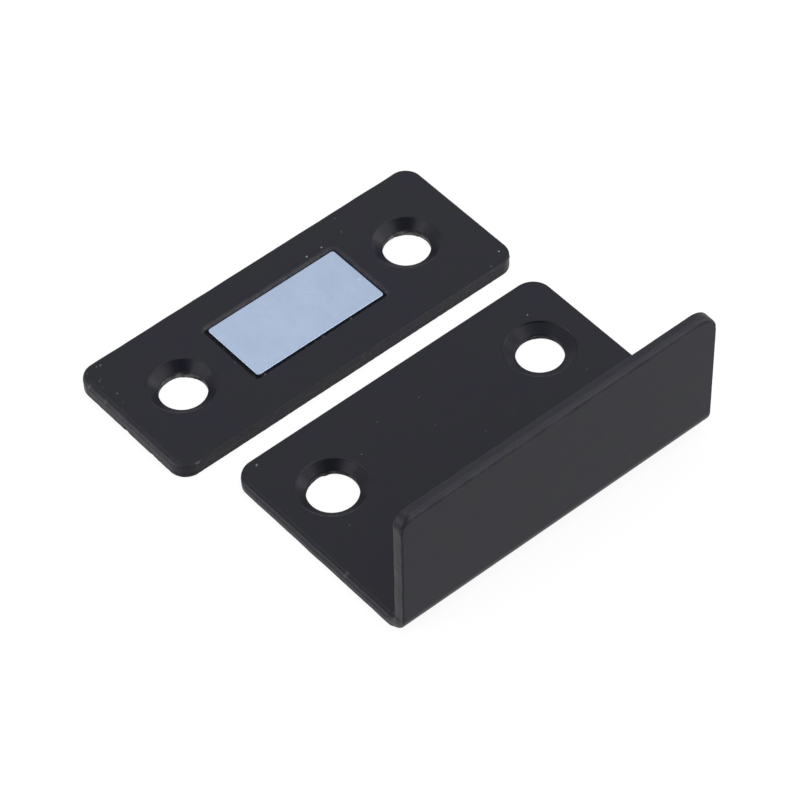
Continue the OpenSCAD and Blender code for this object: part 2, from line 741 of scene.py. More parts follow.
    def finished(
        self,
        name: str,
        finishes: Sequence[bpy.types.Material],
        fold: Callable[[Point], Point] | None = None,
    ) -> bpy.types.Object:
        """Makes the mesh object.

        Args:
            name: The object's name.
            finishes: Its materials, one for each zone that it has.
            fold: Takes a point of the blank to its place, for a piece that is folded.

        Returns:
            The object, in metres, at the origin.
        """
        places = np.array([fold(p) if fold else p for p in self.points]) * MM
        mesh = bpy.data.meshes.new(name)
        mesh.from_pydata(places.tolist(), [], self.faces)
        for finish in finishes:
            mesh.materials.append(finish)
        last = len(finishes) - 1
        mesh.polygons.foreach_set("material_index", [min(z.value, last) for z in self.zones])
        mesh.polygons.foreach_set("use_smooth", [True] * len(self.faces))
        wear_and_sheen = mesh.attributes.new("wear_and_sheen", "FLOAT", "POINT")
        wear_and_sheen.data.foreach_set("value", np.array(self.wear_and_sheen, np.float32))
        mesh.update()
        made = bpy.data.objects.new(name, mesh)
        bpy.context.scene.collection.objects.link(made)
        return made


@dataclass(frozen=True)
class Roll:
    """Soft edge between a flat face and a side: a shallow fall, then a round.

    Attributes:
        radius: Radius of the round.
        fall: Width of the shallow fall in the face before it.
        drop: Depth of that fall.
    """

    radius: float
    fall: float = SUPPORT
    drop: float = 0.0

    def toward(self, other: "Roll", share: float) -> "Roll":
        """The edge that lies part of the way from this one to another."""
        pairs = zip(astuple(self), astuple(other))
        return Roll(*(first + (second - first) * share for first, second in pairs))

    def points(self, fall_rows: int, round_rows: int) -> list[Flat]:
        """Inset and depth of each row.

        Args:
            fall_rows: Steps down the fall.
            round_rows: Steps round the round.

        Returns:
            The rows, from the flat face to the side.
        """
        start = math.atan2(2 * self.drop, self.fall)
        rim = self.radius * (1 - math.sin(start))
        found = []
        for k in range(fall_rows):
            share = k / fall_rows
            found.append((rim + self.fall * (1 - share), self.drop * share**2))
        for k in range(round_rows + 1):
            angle = start + (math.pi / 2 - start) * k / round_rows
            inset = self.radius * (1 - math.sin(angle))
            found.append((inset, self.drop + self.radius * (math.cos(start) - math.cos(angle))))
        return found


@dataclass(frozen=True)
class Rolls:
    """Soft edges of a plate's four sides, which blend into each other round its corners.

    Attributes:
        right: The edge of the side that looks towards +X.
        far: The edge of the side that looks towards +Y.
        left: The edge of the side that looks towards -X.
        near: The edge of the side that looks towards -Y.
    """

    right: Roll
    far: Roll
    left: Roll
    near: Roll

    def facing(self, out: Flat) -> Roll:
        """The edge of a side that looks in an outward direction.

        Args:
            out: The direction, of length 1.

        Returns:
            The edge, blended where the direction is between two sides'.
        """
        across = self.right if out[0] > 0 else self.left
        along = self.far if out[1] > 0 else self.near
        return across.toward(along, out[1] ** 2)


@dataclass(frozen=True)
class SoftEdge:
    """Section of a plate's side, soft where it meets the two faces.

    Attributes:
        thick: The plate's thickness.
        floor: Height of the back face.
        fall_rows: Steps down each edge's shallow fall.
        round_rows: Steps round each edge.
        wall_rows: Steps down the wall between the two edges.
    """

    thick: float
    floor: float = 0.0
    fall_rows: int = 4
    round_rows: int = 7
    wall_rows: int = 14

    def rows(self, front: Roll, back: Roll) -> list[Flat]:
        """Inset and height of each row.

        Args:
            front: The edge of the front face.
            back: The edge of the back face.

        Returns:
            The rows, of which the first and the last lie in the flat faces.
        """
        top = self.floor + self.thick
        counts = (self.fall_rows, self.round_rows)
        upper = [(inset, top - deep) for inset, deep in front.points(*counts)]
        lower = [(inset, self.floor + deep) for inset, deep in back.points(*counts)]
        high, low = upper[-1][1], lower[-1][1]
        wall = [(0.0, high + (low - high) * k / self.wall_rows) for k in range(1, self.wall_rows)]
        return [*upper, *wall, *reversed(lower)]


@dataclass(frozen=True)
class Burr:
    """Rag of metal that the drill left at the back end of a bore.

    Attributes:
        angle: Where it stands, in degrees from +X.
        spread: Its half width, in degrees.
        reach: How far it stands into the bore.
        height: How far up the bore it is felt.
        rag_spread: Width of a rag, in degrees.
        rag_height: Height of a rag.
        mean: Mean reach of the rags, as a share of the full reach.
        swing: How far they go to both sides of it.
    """

    angle: float
    spread: float
    reach: float
    height: float = 0.3
    rag_spread: float = 7
    rag_height: float = 0.2
    mean: float = 0.75
    swing: float = 0.5

    def stand(self, angle: float, z: float) -> float:
        """How far it stands into the bore.

        Args:
            angle: Where, in degrees from +X.
            z: Height over the back face.

        Returns:
            The distance from the bore's wall.
        """
        off = (angle - self.angle + 180) % 360 - 180
        rags = wobble(angle / self.rag_spread, z / self.rag_height, self.angle)
        ragged = self.mean + self.swing * rags
        return self.reach * ragged * hump(off, self.spread) * smooth(1 - z / self.height)


@dataclass(frozen=True)
class ScrewHole:
    """Countersunk screw hole through a plate.

    Attributes:
        middle: Its place on the plate.
        bore_r: Radius of the straight bore.
        mouth_r: Radius of the countersink at the front face.
        land: Height of the straight bore.
        thick: The plate's thickness.
        rim: How its mouth meets the face.
        rim_r: Width of that round or step.
        step: Depth of the step in a crisp mouth.
        mouth_shift: How far the countersink's middle lies off the bore's at the face.
        chatter: Depth of the countersink tool's chatter.
        seed: Picks the chatter's pattern.
        burrs: What the drill left in the bore.
        round_points: Number of points round each row.
        rim_steps: Steps over the round at the mouth.
        cone_steps: Steps down the countersink.
        bore_step: Spacing of the rows in the bore.
        edge_r: Radius of the bore's two edges.
        edge_steps: Steps over the bore's upper and lower edge.
        bore_painted_reflection: How much the bore's wall is painted lighter, as painted reflection of
            the floor, from 0 to 1.
        fade: Height over which the chatter fades towards the bore and towards the face.
        ripple_rate: How fast the chatter's ripples follow each other.
        lobe_rate: How fast its slow lobes do.
        lobe_share: Depth of the lobes over that of the ripples.
        patch_size: Width in degrees, and height, of a patch of that painted reflection.
        patch_mean: How strong the painted reflection is in the mean, as a share of
            bore_painted_reflection.
        patch_swing: How far the patches go to both sides of it.
    """

    middle: Flat
    bore_r: float
    mouth_r: float
    land: float
    thick: float
    rim: Rim = Rim.SOFT
    rim_r: float = 0.1
    step: float = 0.12
    mouth_shift: Flat = (-0.06, -0.07)
    chatter: float = 0.012
    seed: float = 1.0
    burrs: tuple[Burr, ...] = ()
    round_points: int = 120
    rim_steps: int = 8
    cone_steps: int = 10
    bore_step: float = 0.07
    edge_r: float = 0.06
    edge_steps: tuple[int, int] = (4, 3)
    bore_painted_reflection: float = 0.3
    fade: Flat = (0.15, 0.12)
    ripple_rate: float = 5.5
    lobe_rate: float = 1.7
    lobe_share: float = 1.3
    patch_size: Flat = (14, 0.3)
    patch_mean: float = 0.7
    patch_swing: float = 0.9

    def section(self) -> list[Flat]:
        """Radius and height of each row.

        Returns:
            The rows, from the front face down to the back face.
        """
        bore, mouth, top = self.bore_r, self.mouth_r, self.thick
        upper_steps, lower_steps = self.edge_steps
        fall = (mouth - bore, top - self.land)
        slope = math.hypot(*fall)
        down = (-fall[0] / slope, -fall[1] / slope)
        border = (mouth + self.rim_r, top)
        rows = [(border[0] + SUPPORT, top)]
        if self.rim is Rim.SOFT:
            start = (mouth + self.rim_r * down[0], top + self.rim_r * down[1])
            rows += curve(border, (mouth, top), start, self.rim_steps)
        else:
            lip = top - self.step / 3
            start = (mouth, top - self.step)
            near = 0.01
            rows += curve(
                border, (mouth + self.rim_r / 3, top), (mouth + 4 * near, lip), self.rim_steps
            )
            rows += [(mouth + 3 * near, lip - near), (mouth + near, start[1] + near), start]
        foot = (bore - self.edge_r * down[0], self.land - self.edge_r * down[1])
        for share in stops(0.0, 1.0, 1 / self.cone_steps)[1:-1]:
            radius, height = (a + (b - a) * share for a, b in zip(start, foot))
            rows.append((radius, height))
        rows += curve(foot, (bore, self.land), (bore, self.land - self.edge_r), upper_steps)
        for z in stops(self.land - self.edge_r, self.edge_r, self.bore_step)[1:-1]:
            rows.append((bore, z))
        rows += curve((bore, self.edge_r), (bore, 0.0), (bore + self.edge_r, 0.0), lower_steps)
        rows.append((bore + self.edge_r + SUPPORT, 0.0))
        return rows

    def radius(self, base: float, z: float, angle: float) -> float:
        """Radius of a row at one angle, with the chatter and the burrs.

        Args:
            base: The row's radius without them.
            z: Its height over the back face.
            angle: The angle, in degrees from +X.

        Returns:
            The radius.
        """
        low_fade, high_fade = self.fade
        on_cone = smooth((z - self.land) / low_fade) * smooth((self.thick - z) / high_fade)
        turn = math.radians(angle)
        ripple, lobe = (
            wobble(math.cos(turn) * rate, math.sin(turn) * rate, seed)
            for rate, seed in ((self.ripple_rate, self.seed), (self.lobe_rate, self.seed + 5))
        )
        stand = sum(burr.stand(angle, z) for burr in self.burrs)
        return base + on_cone * self.chatter * (ripple + self.lobe_share * lobe) - stand

    def carve(self, draft: Draft) -> tuple[Ring, Ring]:
        """Draws the hole.

        Args:
            draft: The plate that it goes through.

        Returns:
            Its border in the front face, and its border in the back face.
        """
        spread, height = self.patch_size
        rings = []
        for base, z in self.section():
            ring = []
            # Painted reflection of the floor on the bore's wall: lighter towards the back face, in
            # patches
            worn_and_sheen = self.bore_painted_reflection * smooth(2.2 - z / self.land * 2)
            off = smooth((z - self.land) / (self.thick - self.land))
            for k in range(self.round_points):
                angle = 360 * k / self.round_points
                turn = math.radians(angle)
                reach = self.radius(base, z, angle)
                x = self.middle[0] + reach * math.cos(turn) + off * self.mouth_shift[0]
                y = self.middle[1] + reach * math.sin(turn) + off * self.mouth_shift[1]
                pattern = wobble(angle / spread, z / height, self.seed + 9)
                thin = max(0.0, self.patch_mean + self.patch_swing * pattern)
                ring.append(draft.add((x, y, z), worn_and_sheen * thin))
            rings.append(ring)
        draft.strips(rings[::-1], Zone.TURNED)
        return rings[0], rings[-1]


class Tree:
    """Node tree of a material or a world."""

    def __init__(self, owner: bpy.types.Material | bpy.types.World) -> None:
        """Empties the tree.

        Args:
            owner: The material or the world.
        """
        owner.use_nodes = True
        self.tree = owner.node_tree
        self.tree.nodes.clear()

    def node(self, kind: str, *sources: Socket, **settings: object) -> bpy.types.Node:
        """Adds a node.

        Args:
            kind: Its kind.
            sources: What its first inputs are joined to, in their order.
            settings: Its properties.

        Returns:
            The node.
        """
        made = self.tree.nodes.new(kind)
        for key, value in settings.items():
            setattr(made, key, value)
        for source, target in zip(sources, made.inputs):
            self.link(source, target)
        return made

    def link(self, source: Socket, target: Socket) -> None:
        """Joins two sockets."""
        self.tree.links.new(source, target)

    def seen(self) -> Socket:
        """Tells apart the rays that show the background itself: camera, gloss and glass rays.

        Returns:
            1 for those rays, and 0 for all others.
        """
        path = self.node("ShaderNodeLightPath").outputs
        total = path["Is Camera Ray"]
        for name in ("Is Glossy Ray", "Is Transmission Ray"):
            total = self.node("ShaderNodeMath", total, path[name], operation="MAXIMUM").outputs[0]
        return total


class Graph(Tree):
    """Node tree of one procedural material, in coordinates of one millimetre."""

    def __init__(self, name: str) -> None:
        """Starts an empty material.

        Args:
            name: The material's name.
        """
        self.material = bpy.data.materials.new(name)
        super().__init__(self.material)
        self.shader = self.node("ShaderNodeBsdfPrincipled")
        self.node("ShaderNodeOutputMaterial", self.shader.outputs[0])
        place = self.node("ShaderNodeTexCoord").outputs["Object"]
        scaled = self.node("ShaderNodeVectorMath", place, operation="SCALE")
        scaled.inputs["Scale"].default_value = 1 / MM
        self.place = scaled.outputs[0]

    def noise(
        self, size: float, detail: float = 2.0, stretch: Point = (1.0, 1.0, 1.0), shift: float = 0.0
    ) -> Socket:
        """Smooth noise.

        Args:
            size: Size of its features.
            detail: How many finer layers it has.
            stretch: How much longer the features are along each axis.
            shift: Moves the pattern.

        Returns:
            Its value, from 0 to 1.
        """
        mapping = self.node("ShaderNodeMapping", self.place)
        mapping.inputs["Location"].default_value = (shift, shift, shift)
        mapping.inputs["Scale"].default_value = tuple(1 / (size * s) for s in stretch)
        texture = self.node("ShaderNodeTexNoise", mapping.outputs[0])
        texture.inputs["Scale"].default_value = 1.0
        texture.inputs["Detail"].default_value = detail
        return texture.outputs[0]

    def spread(self, value: Socket, source: Flat, target: Flat) -> Socket:
        """Maps a value from one range to another, and holds it there.

        Args:
            value: The value.
            source: The range from which it is mapped.
            target: The range to which it is mapped.

        Returns:
            The mapped value.
        """
        made = self.node("ShaderNodeMapRange", value)
        for socket, number in zip(made.inputs[1:5], (*source, *target)):
            socket.default_value = number
        return made.outputs[0]

    def mix(self, share: Socket, first: Colour | Socket, second: Colour | Socket) -> Socket:
        """Mixes two colours.

        Args:
            share: How much there is of the second one, from 0 to 1.
            first: The first colour.
            second: The second colour.

        Returns:
            The mixed colour.
        """
        made = self.node("ShaderNodeMix", share, data_type="RGBA")
        for number, colour in ((MIX_FIRST, first), (MIX_SECOND, second)):
            socket = made.inputs[number]
            if isinstance(colour, tuple):
                socket.default_value = (*colour, 1.0)
            else:
                self.link(colour, socket)
        return made.outputs[MIX_RESULT]

    def paint(self, colour: Socket, worn_and_sheen: Colour) -> None:
        """Gives the surface its colour.

        Args:
            colour: The colour of the sound finish.
            worn_and_sheen: The colour where the mesh is marked, for marks and for painted highlights,
                glints, reflection and shade.
        """
        wear_and_sheen = self.node("ShaderNodeAttribute", attribute_name="wear_and_sheen").outputs["Fac"]
        self.link(self.mix(wear_and_sheen, colour, worn_and_sheen), self.shader.inputs["Base Color"])

    def roughen(self, grain: Socket, smoothest: float, roughest: float) -> None:
        """Gives the surface a roughness that follows a pattern.

        Args:
            grain: The pattern.
            smoothest: Lowest roughness.
            roughest: Highest roughness.
        """
        rough = self.spread(grain, (0.3, 0.7), (smoothest, roughest))
        self.link(rough, self.shader.inputs["Roughness"])

    def bump(self, heights: Sequence[tuple[Socket, float]]) -> None:
        """Gives the surface a fine relief.

        Args:
            heights: Values from 0 to 1, each with its full height.
        """
        normal = None
        for value, height in heights:
            made = self.node("ShaderNodeBump")
            made.inputs["Strength"].default_value = 1.0
            made.inputs["Distance"].default_value = height * MM
            self.link(value, made.inputs["Height"])
            if normal is not None:
                self.link(normal, made.inputs["Normal"])
            normal = made.outputs[0]
        self.link(normal, self.shader.inputs["Normal"])

    def value(self, socket: str, number: float) -> None:
        """Sets a number that is the same all over the surface."""
        self.shader.inputs[socket].default_value = number


@dataclass(frozen=True)
class Coat:
    """Thin satin black coat on steel.

    Attributes:
        name: The material's name.
        colour: Its colour.
        cloud: Colour of the faint clouds in it.
        bare_and_sheen: Colour of chips and dust on it, and of its painted highlights, glints and
            reflection.
        gloss: Strength of its mirror gloss, of which 0.5 is plain lacquer.
        smoothest: Lowest roughness.
        roughest: Highest roughness.
        peel: Height of its fine unevenness.
        streak: Height of the marks along the thickness of a punched side. The dents
            between them are twice as high.
        cloud_size: Size of the clouds.
        grain_size: Size of the fine unevenness.
        streak_size: Width of a mark.
        dent_size: Size of a dent.
    """

    name: str
    colour: Colour = (0.0096, 0.0105, 0.0144)
    cloud: Colour = (0.0095, 0.0090, 0.0172)
    bare_and_sheen: Colour = (0.3, 0.3, 0.315)
    gloss: float = 0.142
    smoothest: float = 0.35
    roughest: float = 0.4
    peel: float = 0.0007
    streak: float = 0.0
    cloud_size: float = 3.2
    grain_size: float = 0.16
    streak_size: float = 0.13
    dent_size: float = 0.34

    def material(self) -> bpy.types.Material:
        """Builds the material.

        Returns:
            The material.
        """
        graph = Graph(self.name)
        clouds = graph.spread(graph.noise(self.cloud_size, 4.0), (0.4, 0.6), (0.0, 1.0))
        grain = graph.noise(self.grain_size, 3.0, shift=5.0)
        graph.paint(graph.mix(clouds, self.colour, self.cloud), self.bare_and_sheen)
        graph.roughen(grain, self.smoothest, self.roughest)
        graph.value("Specular IOR Level", self.gloss)
        reliefs = [(grain, self.peel)]
        if self.streak:
            streaks = graph.noise(self.streak_size, 2.0, (1.0, 1.0, 5.0), 9.0)
            dents = graph.noise(self.dent_size, 3.0, shift=7.0)
            reliefs += [(streaks, self.streak), (dents, 2 * self.streak)]
        graph.bump(reliefs)
        return graph.material


@dataclass(frozen=True)
class Plating:
    """Thin bright plating on the block magnet.

    Attributes:
        name: The material's name.
        colour: Its colour.
        cloud: Colour of the faint clouds in it.
        scratch_and_shade: Colour of its scratches and pits, and of the painted shade line inside its
            edge.
        smoothest: Lowest roughness.
        roughest: Highest roughness.
        peel: Height of its fine unevenness.
        cloud_size: Size of the clouds.
        grain_size: Size of the fine unevenness.
    """

    name: str
    colour: Colour = (0.313, 0.381, 0.504)
    cloud: Colour = (0.294, 0.359, 0.476)
    scratch_and_shade: Colour = (0.22, 0.3, 0.43)
    smoothest: float = 0.3
    roughest: float = 0.4
    peel: float = 0.0012
    cloud_size: float = 2.2
    grain_size: float = 0.12

    def material(self) -> bpy.types.Material:
        """Builds the material.

        Returns:
            The material.
        """
        graph = Graph(self.name)
        pattern = graph.noise(self.cloud_size, 3.0, (1.0, 1.6, 1.0))
        clouds = graph.spread(pattern, (0.35, 0.65), (0.0, 1.0))
        grain = graph.noise(self.grain_size, 3.0, shift=3.0)
        graph.paint(graph.mix(clouds, self.colour, self.cloud), self.scratch_and_shade)
        graph.roughen(grain, self.smoothest, self.roughest)
        graph.value("Metallic", 1.0)
        graph.bump([(grain, self.peel)])
        return graph.material


@dataclass(frozen=True)
class Resin:
    """Dark cured glue.

    Attributes:
        name: The material's name.
        colour: Its colour.
        lump: Colour of the lumps in it.
        dust: Colour of the dust caught in it.
        gloss: Strength of its mirror gloss.
        smoothest: Lowest roughness.
        roughest: Highest roughness.
        lump_size: Size of a lump.
        lump_height: Height of a lump.
    """

    name: str
    colour: Colour = (0.004, 0.005, 0.008)
    lump: Colour = (0.012, 0.013, 0.018)
    dust: Colour = (0.45, 0.3, 0.3)
    gloss: float = 0.09
    smoothest: float = 0.3
    roughest: float = 0.5
    lump_size: float = 0.25
    lump_height: float = 0.02

    def material(self) -> bpy.types.Material:
        """Builds the material.

        Returns:
            The material.
        """
        graph = Graph(self.name)
        lumps = graph.noise(self.lump_size, 2.0)
        shade = graph.spread(lumps, (0.3, 0.75), (0.0, 0.4))
        graph.paint(graph.mix(shade, self.colour, self.lump), self.dust)
        graph.roughen(lumps, self.smoothest, self.roughest)
        graph.value("Specular IOR Level", self.gloss)
        graph.bump([(lumps, self.lump_height)])
        return graph.material


@dataclass
class CarrierHalf:
    """The plate that is screwed to the cabinet, with its magnet and glue line.

    Attributes:
        length: The plate's length along X.
        width: Its width along Y.
        thick: Its thickness.
        corner_r: Radius of its four corners.
        front_rolls: Soft edges round its front face.
        back_roll: Soft edge round its back face.
        hole_gap: Distance between the two holes.
        bore_r: Radius of their bores.
        mouth_r: Radius of their countersinks at the front face.
        land: Height of their bores.
        punch_shift: How far the holes lie off the plate's middle line.
        outline_step: Spacing of the points round the plate.
        magnet_length: The magnet's length.
        magnet_width: Its width.
        magnet_shift: How far it lies off the plate's middle line.
        magnet_corner_r: Radius of its corners.
        magnet_roll: Soft edges of its two faces.
        magnet_rim_shade: How much painted shade darkens a line just inside its edge, from 0 to 1.
        magnet_back: Height of its back face over the plate's.
        gap_left: Width of the glue line on the left.
        gap_right: The same on the right.
        gap_near: The same on the near side.
        gap_far: The same on the far side.
        window_corner_r: Radius of the window's corners.
        window_lip: Its front edge on the right and the far side: a wide shallow fall that carries a
            painted highlight.
        window_rim: Its front edge on the other two sides.
        window_back: Its back edge.
        window_step: Spacing of the points round it.
        glue_top: Height of the glue where it meets the walls.
        glue_low: Height of its underside.
        glue_climb: How far its surface sinks between the walls.
        flecks: Marks on the front face.
        magnet_marks: Marks on the magnet's face.
    """

    length: float = 40.0
    width: float = 16.0
    thick: float = 1.5
    corner_r: float = 1.8
    front_rolls: Rolls = Rolls(Roll(0.15), Roll(0.15), Roll(0.6), Roll(0.12))
    back_roll: Roll = Roll(0.05)
    hole_gap: float = 26.8
    bore_r: float = 2.3
    mouth_r: float = 3.33
    land: float = 0.64
    punch_shift: float = 0.3
    outline_step: float = 0.12

    magnet_length: float = 15.06
    magnet_width: float = 7.52
    magnet_shift: float = 0.285
    magnet_corner_r: float = 0.28
    magnet_roll: Roll = Roll(0.04, 0.18)
    magnet_rim_shade: float = 0.33
    magnet_back: float = 0.1

    gap_left: float = 0.45
    gap_right: float = 0.2
    gap_near: float = 0.38
    gap_far: float = 0.2
    window_corner_r: float = 0.4
    window_lip: Roll = Roll(0.05, 0.5, 0.16)
    window_rim: Roll = Roll(0.06)
    window_back: Roll = Roll(0.05)
    window_step: float = 0.15
    glue_top: float = 1.2
    glue_low: float = 0.25
    glue_climb: float = 0.1

    flecks: tuple[Fleck, ...] = (
        Fleck(-17.95, 7.35, 0.08, 0.45),
        Fleck(-17.55, 7.25, 0.11, 0.3, stretch=1.6, turn=30),
        Fleck(-19.1, 7.25, 0.08, 0.3),
        Fleck(-18.8, 5.75, 0.1, 0.25),
        Fleck(-18.5, 3.45, 0.11, 0.3),
        Fleck(-8.15, -0.85, 0.06, 0.5),
        Fleck(10.3, 7.15, 0.07, 0.48),
        Fleck(9.65, 5.35, 0.08, 0.36),
        Fleck(6.98, 5.06, 0.09, 0.8, stretch=1.5, turn=120),
        Fleck(5.2, 5.08, 0.1, 1.0, stretch=1.4),
        Fleck(-18.55, 5.9, 0.07, 0.2),
        Fleck(-19.05, 4.9, 0.06, 0.25),
        Fleck(-18.75, 2.2, 0.07, 0.15),
        Fleck(15.25, -2.45, 0.09, 0.25),
        Fleck(19.0, -6.55, 0.1, 1.0),
        Fleck(17.2, -7.5, 0.11, 0.2),
    )
    magnet_marks: tuple[Mark, ...] = (
        Scratch((-5.1, -0.6), (-5.0, -2.15), 0.15),
        Scratch((-3.9, 1.9), (-1.2, 2.4), -0.1, 0.05, 0.004, 0.25),
        Scratch((1.6, -1.4), (4.4, -0.5), 0.2, 0.05, 0.004, 0.2),
        Fleck(2.2, 1.6, 0.07, 1.0, -0.02),
        Fleck(6.95, -0.6, 0.12, 1.0, -0.03, 1.4, 80),
    )

    def magnet_corners(self) -> tuple[Flat, Flat]:
        """Lowest and highest corner of the magnet."""
        half_l, half_w = self.magnet_length / 2, self.magnet_width / 2
        return (-half_l, self.magnet_shift - half_w), (half_l, self.magnet_shift + half_w)

    def window_corners(self) -> tuple[Flat, Flat]:
        """Two corners of the window, in which the magnet sits off the middle.

        Returns:
            The lowest and the highest corner.
        """
        low, high = self.magnet_corners()
        return (
            (low[0] - self.gap_left, low[1] - self.gap_near),
            (high[0] + self.gap_right, high[1] + self.gap_far),
        )

    def window(self) -> Outline:
        """Outline of the window that holds the magnet and its glue line."""
        return Outline.rounded(*self.window_corners(), (self.window_corner_r,) * 4, self.window_step)

    def side_reliefs(self) -> list[Relief]:
        """What the punch and later knocks left on the plate's side, with painted highlights and
        glints.

        Returns:
            The reliefs.
        """
        left = -self.length / 2
        return [
            Shear(tear_line=0.85, seed=2.0),
            Wave((0.0, 1.0), 0.06, 2.6, 4.0),
            Wave((0.0, -1.0), -0.04, 5.0, 6.0),
            Wave((-1.0, 0.0), 0.02, 2.2, 8.0),
            # Painted highlight bands: along the left side's round and its top edge, and along the
            # near side's top edge
            PaintedSheen((-1.0, 0.0), 1.1, 0.28, 0.13, 0.8, 61.0),
            PaintedSheen((-1.0, 0.0), 1.49, 0.06, 0.03, 0.5, 62.0),
            PaintedSheen((0.0, -1.0), 1.38, 0.12, 0.09, 0.6, 63.0),
            Nick((-19.2, 7.35, 1.3), (-19.3, 7.3, 1.6), 0.15, 0.03, 0.15),
            Nick((left, 6.1, 1.1), (left, 6.0, 1.3), 0.12, 0.03, 0.2),
            Nick((left, 3.6, 1.1), (left, 3.5, 1.3), 0.1, 0.02, 0.15),
            Nick((left, 0.5, 0.4), (left, 0.2, -0.2), 0.2, 0.06),
            Nick((left, -3.6, 0.35), (left, -3.4, -0.2), 0.18, 0.05),
            Nick((-19.4, -7.4, 1.05), (-18.0, -8.0, 1.2), 0.06, 0.05),
            # Two painted glints on the top edge at the near left corner, with no cut
            Nick((-18.3, -8.0, 1.43), (-18.0, -8.0, 1.43), 0.05, 0.0, 0.35),
            Nick((-18.85, -7.8, 1.44), (-18.8, -7.8, 1.44), 0.05, 0.0, 0.25),
            Nick((19.4, -7.5, 1.2), (19.6, -7.3, 1.0), 0.12, -0.06),
            Nick((18.5, -8.0, 1.35), (18.7, -8.0, 1.3), 0.07, -0.05),
        ]

    def window_reliefs(self) -> list[Relief]:
        """Painted highlights on the window's two soft edges.

        Returns:
            The reliefs.
        """
        middle = self.thick - 0.75 * self.window_lip.drop
        return [
            PaintedSheen((0.0, 1.0), middle, 0.09, 0.16, 1.1, 66.0),
            PaintedSheen((1.0, 0.0), middle, 0.09, 0.18, 1.1, 67.0),
        ]

    def section(self, place: Flat, out: Flat) -> list[Flat]:
        """Section of the plate's side at a place."""
        return SoftEdge(self.thick).rows(self.front_rolls.facing(out), self.back_roll)

    def window_section(self, place: Flat, out: Flat) -> list[Flat]:
        """Section of the window's wall, drawn out into the plate.

        Args:
            place: A place on the window's outline; not used.
            out: Outward direction there.

        Returns:
            Inset and height of each row.
        """
        rolls = Rolls(self.window_lip, self.window_lip, self.window_rim, self.window_rim)
        edge = SoftEdge(self.thick, wall_rows=8)
        return [(-inset, z) for inset, z in edge.rows(rolls.facing(out), self.window_back)]

    def holes(self) -> list[ScrewHole]:
        """The screw holes.

        Returns:
            The left and the right hole.
        """
        burrs = (
            (-1, (Burr(93, 22, 0.12), Burr(38, 32, 0.17), Burr(150, 7, 0.1))),
            (1, (Burr(50, 42, 0.15), Burr(165, 12, 0.06))),
        )
        return [
            ScrewHole(
                (end * self.hole_gap / 2, self.punch_shift),
                self.bore_r, self.mouth_r, self.land, self.thick,
                rim_r=0.08, seed=10.0 + end, burrs=left_behind, bore_painted_reflection=0.5,
            )
            for end, left_behind in burrs
        ]

    def plate(self) -> Draft:
        """Draws the plate.

        Returns:
            The plate's draft.
        """
        draft = Draft()
        half_l, half_w = self.length / 2, self.width / 2
        outline = Outline.rounded(
            (-half_l, -half_w), (half_l, half_w), (self.corner_r,) * 4, self.outline_step
        )
        side = draft.side(outline, self.section, self.side_reliefs())
        rolled = SoftEdge.fall_rows + SoftEdge.round_rows // 3
        draft.strips(side[: rolled + 1], Zone.FACE)
        draft.strips(side[rolled:], Zone.SHEARED)

        opening = draft.side(self.window(), self.window_section, self.window_reliefs())
        rolled = SoftEdge.fall_rows + SoftEdge.round_rows // 2
        draft.strips(opening[rolled::-1], Zone.FACE)
        draft.strips(opening[: rolled - 1 : -1], Zone.SHEARED)

        borders = [(opening[0], opening[-1]), *(hole.carve(draft) for hole in self.holes())]
        tops, bottoms = zip(*borders)
        draft.cap(side[0], tops, self.thick, True, self.flecks)
        draft.cap(side[-1], bottoms, 0.0, False)
        return draft

    def magnet(self) -> Draft:
        """Draws the magnet.

        Returns:
            The magnet's draft.
        """
        draft = Draft()
        outline = Outline.rounded(
            *self.magnet_corners(), (self.magnet_corner_r,) * 4, self.window_step
        )
        edge = SoftEdge(self.thick - self.magnet_back, self.magnet_back, wall_rows=6)
        rings = draft.side(outline, lambda place, out: edge.rows(self.magnet_roll, self.magnet_roll))
        # Painted shade: a darker line round the magnet, just inside its front edge
        for k in rings[edge.fall_rows // 2]:
            draft.wear_and_sheen[k] = self.magnet_rim_shade
        draft.strips(rings, Zone.FACE)
        draft.cap(rings[0], [], self.thick, True, self.magnet_marks)
        draft.cap(rings[-1], [], self.magnet_back, False)
        return draft

    def glue(self) -> Draft:
        """Draws the glue line, whose surface climbs both walls.

        Returns:
            Its draft.
        """
        draft = Draft()
        outline = self.window()
        window, magnet = self.window_corners(), self.magnet_corners()

        def between(place: Flat, share: float) -> Flat:
            """Place between the window's wall and the magnet's.

            Args:
                place: A place on the window's wall.
                share: How far it is to go towards the magnet, from 0 to 1.

            Returns:
                The place.
            """
            found = []
            for k in (0, 1):
                along = (place[k] - window[0][k]) / (window[1][k] - window[0][k])
                goal = magnet[0][k] + (magnet[1][k] - magnet[0][k]) * along
                found.append(place[k] + (goal - place[k]) * share)
            return (found[0], found[1])

        def row(share: float, z: float, lumpy: bool) -> Ring:
            """Adds one row round the glue line.

            Args:
                share: How far it lies towards the magnet, from 0 to 1.
                z: Its height.
                lumpy: Whether it lies in the uneven, dusty surface.

            Returns:
                The row.
            """
            lump_length, lump_height = 0.7, 0.09
            dust_length, dust_start, dust_rise = 0.35, 0.5, 3.5
            found = []
            for place, run in zip(outline.points, outline.runs):
                lump, dust = 0.0, 0.0
                if lumpy:
                    lump = lump_height * wobble(run / lump_length, share, 3.0)
                    dust = wobble(run / dust_length, 0.5, 12.0)
                    dust = smooth(dust_rise * (dust - dust_start))
                found.append(draft.add((*between(place, share), z + lump), dust))
            return found

